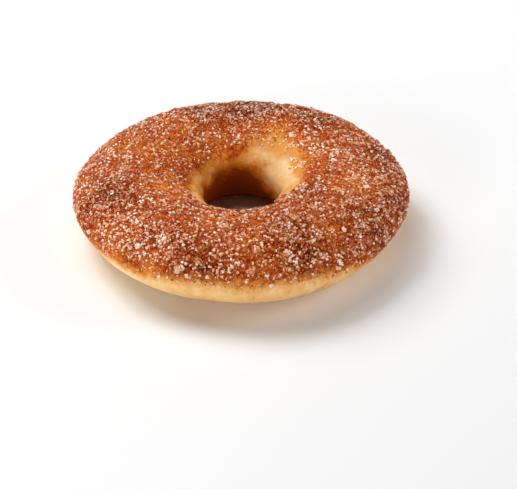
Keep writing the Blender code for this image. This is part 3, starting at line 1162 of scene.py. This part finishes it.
print("laying the large crystals")
landmarkPiece = makeLandmarks()
landmarkPiece.data.materials.append(
    sugarMaterial("largeCrystalsFinish", largeCrystals["roughness"], largeCrystals["specularLevel"]))
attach(landmarkPiece, "root")
print("largeCrystals", len(landmarkPiece.data.polygons), "triangles")

print("heaping the sugar clumps")
clumpPiece = makeClumps()
clumpPiece.data.materials.append(
    sugarMaterial("sugarClumpsFinish", clumps["roughness"], clumps["specularLevel"]))
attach(clumpPiece, "root")
print("sugarClumps", len(clumpPiece.data.polygons), "triangles")


stageLook = {
    "floorSize": 4.0,
    "floorColour": srgb(250, 250, 250),
    "floorRoughness": 0.55,
    "lamps": {  # place and size in metres, and power in watts
        "windowLight": ((-0.43, 0.37, 0.58), 0.42, 5.0),
        "skylight": ((-0.12, 0.34, 0.64), 0.40, 1.5),
        "rightFill": ((0.64, 0.05, 0.30), 0.28, 1.8),
        "frontFill": ((-0.36, -0.61, 0.17), 0.26, 2.0),
    },
    "lampsPointAt": (0, 0, 0.01),
    "glowFrom": (0.35, 1.1),     # metres from the middle: where the glow starts, and where it is full
    "glow": (0.0, 0.78),
    "skyAtHorizon": (0.92, 0.92, 0.92),
    "skyOverhead": (0.02, 0.02, 0.02),
    "skyStops": ((0.0, "skyAtHorizon"), (0.55, "skyOverhead")),
}


def makeFloor():
    deselectAll()
    bpy.ops.mesh.primitive_plane_add(size=stageLook["floorSize"], location=(0, 0, 0))
    floor = bpy.context.object
    floor.name = "paleFloor"
    made, nodes, links, surface = newMaterial("paleFloorFinish", stageLook["floorRoughness"])
    surface.inputs["Base Color"].default_value = (*stageLook["floorColour"], 1.0)
    away = nodes.new("ShaderNodeVectorMath")
    away.operation = "LENGTH"
    links.new(nodes.new("ShaderNodeTexCoord").outputs["Object"], away.inputs[0])
    glow = nodes.new("ShaderNodeMapRange")  # past the lamps the floor is lit from within
    for socket, value in zip(glow.inputs[1:5], (*stageLook["glowFrom"], *stageLook["glow"])):
        socket.default_value = value
    links.new(away.outputs["Value"], glow.inputs[0])
    surface.inputs["Emission Color"].default_value = (1.0, 1.0, 1.0, 1.0)
    links.new(glow.outputs[0], surface.inputs["Emission Strength"])
    floor.data.materials.append(made)


def areaLight(name, place, size, power):
    lamp = bpy.data.lights.new(name, "AREA")
    lamp.size = size
    lamp.energy = power
    holder = bpy.data.objects.new(name, lamp)
    holder.location = place
    way = Vector(stageLook["lampsPointAt"]) - Vector(place)
    holder.rotation_euler = way.to_track_quat("-Z", "Y").to_euler()
    bpy.context.scene.collection.objects.link(holder)


def makeSky():  # bright at the horizon and dark overhead
    world = bpy.data.worlds.new("paleRoom")
    world.use_nodes = True
    nodes, links = world.node_tree.nodes, world.node_tree.links
    way = nodes.new("ShaderNodeSeparateXYZ")
    links.new(nodes.new("ShaderNodeTexCoord").outputs["Generated"], way.inputs[0])
    colour = rampNode(nodes, links, way.outputs["Z"], stageLook, stageLook["skyStops"])
    links.new(colour, nodes["Background"].inputs["Color"])
    bpy.context.scene.world = world


# The camera stands where the photograph was taken from
camera = {
    "distance": 380 * mm,            # from the middle of the ring, at its widest line
    "elevation": deg(32.7),
    "frame": (517, 489),             # pixels
    "focal": 1519,                   # pixels
    "ringMiddleAt": (241.7, 195.4),  # where the middle of the ring appears, pixels
    "sensor": 36.0,                  # mm
    "reach": (0.01, 20),             # metres
}


def makeCamera():
    data = bpy.data.cameras.new("studioCamera")
    data.sensor_width = camera["sensor"]
    data.lens = camera["focal"] / camera["frame"][0] * camera["sensor"]
    data.clip_start, data.clip_end = camera["reach"]
    holder = bpy.data.objects.new("studioCamera", data)
    back = camera["distance"] * math.cos(camera["elevation"])
    up = camera["distance"] * math.sin(camera["elevation"])
    middle = Vector((-ring["middle"][0], -ring["middle"][1], ring["rimHeight"]))
    holder.location = middle + Vector((0, -back, up))
    right = (camera["frame"][0] / 2 - camera["ringMiddleAt"][0]) / camera["focal"]
    below = (camera["frame"][1] / 2 - camera["ringMiddleAt"][1]) / camera["focal"]
    pitch = camera["elevation"] + math.atan(below)
    yaw = math.atan(right)
    tilt = Matrix.Rotation(math.pi / 2 - pitch, 4, "X")
    pan = Matrix.Rotation(-yaw, 4, "Y")  # about the camera's own upright
    holder.rotation_euler = (tilt @ pan).to_euler()
    bpy.context.scene.collection.objects.link(holder)
    bpy.context.scene.camera = holder


print("setting the stage")
makeFloor()
for name, (place, size, power) in stageLook["lamps"].items():
    areaLight(name, place, size, power)
makeSky()
bpy.context.scene.view_settings.view_transform = "Standard"
makeCamera()
